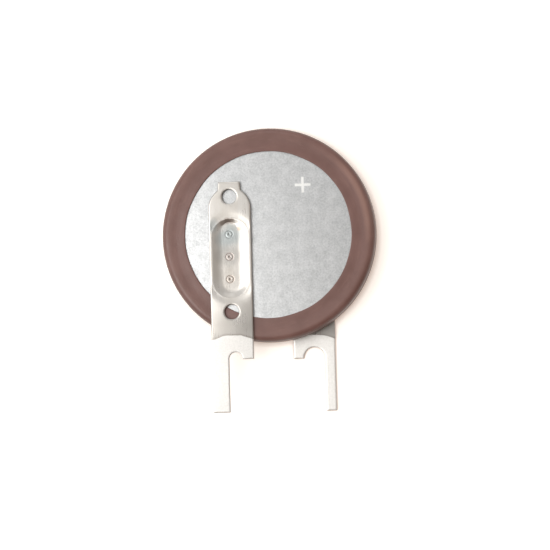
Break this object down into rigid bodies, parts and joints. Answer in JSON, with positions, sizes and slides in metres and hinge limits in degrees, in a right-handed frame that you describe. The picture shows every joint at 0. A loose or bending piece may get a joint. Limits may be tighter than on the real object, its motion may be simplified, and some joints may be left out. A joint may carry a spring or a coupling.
{
  "type": "lithium coin cell",
  "caption": "Round rechargeable lithium cell in a shrunk rim sleeve, with a welded solder tab on each face for standing it upright on a circuit board.",
  "frame": {"origin": "middle of the bottom of the whole part's box, on the plane of the negative tab's outer face", "axes": "+Z along the cell's axis, out of the positive face; -Y along the solder legs; +X to the right with the positive face up and the legs towards the viewer"},
  "size_m": [0.0204, 0.027, 0.0029],
  "materials": {
    "can_steel": "matte nickel plating on drawn steel",
    "cap_steel": "satin pressed steel",
    "gasket_plastic": "moulded polypropylene",
    "cathode_powder": "pressed black oxide powder",
    "separator_film": "thin nonwoven film",
    "anode_alloy": "dull lithium alloy",
    "sleeve_film": "satin heat-shrunk film",
    "tab_steel": "satin plated strip, bright tin at the dipped end"
  },
  "bodies": {
    "root": {"positive_can": "can_steel", "negative_cap": "cap_steel", "gasket": "gasket_plastic", "cathode_pellet": "cathode_powder", "separator": "separator_film", "lithium_anode": "anode_alloy", "rim_sleeve": "sleeve_film", "positive_tab": "tab_steel", "negative_tab": "tab_steel"}
  },
  "joints": []
}
